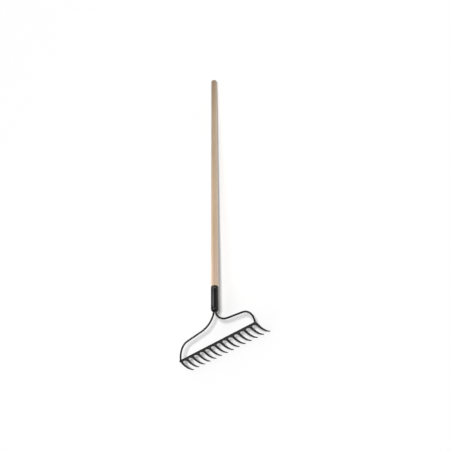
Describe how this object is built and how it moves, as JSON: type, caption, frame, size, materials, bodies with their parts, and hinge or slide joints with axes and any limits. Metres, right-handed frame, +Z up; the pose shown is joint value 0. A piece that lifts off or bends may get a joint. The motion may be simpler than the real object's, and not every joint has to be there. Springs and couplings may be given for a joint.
{
  "type": "garden bow rake",
  "caption": "Long-handled garden rake with a wooden shaft, a steel ferrule, and a two-rod bow that carries a straight bar of curved tines.",
  "frame": {"origin": "on the ground under the middle of the rake's bounding box, as it lies on its tine tips and the end of its grip", "axes": "+X along the bar, +Y from the head to the grip, +Z up"},
  "size_m": [0.364, 1.5456, 0.0936],
  "materials": {
    "ash_wood": "pale straight-grained ash under a thin satin lacquer",
    "black_paint": "semi-gloss black enamel on steel, a little uneven over the welds",
    "black_paint_worn": "semi-gloss black enamel on steel, rubbed greyer towards the tips",
    "dark_steel": "oiled dark steel nail, slightly brown"
  },
  "bodies": {
    "root": {"handle_shaft": "ash_wood", "ferrule": "black_paint", "bow_left": "black_paint", "bow_right": "black_paint", "head_bar": "black_paint", "tine_01": "black_paint_worn", "tine_02": "black_paint_worn", "tine_03": "black_paint_worn", "tine_04": "black_paint_worn", "tine_05": "black_paint_worn", "tine_06": "black_paint_worn", "tine_07": "black_paint_worn", "tine_08": "black_paint_worn", "tine_09": "black_paint_worn", "tine_10": "black_paint_worn", "tine_11": "black_paint_worn", "tine_12": "black_paint_worn", "tine_13": "black_paint_worn", "tine_14": "black_paint_worn", "ferrule_nail": "dark_steel"}
  },
  "joints": []
}
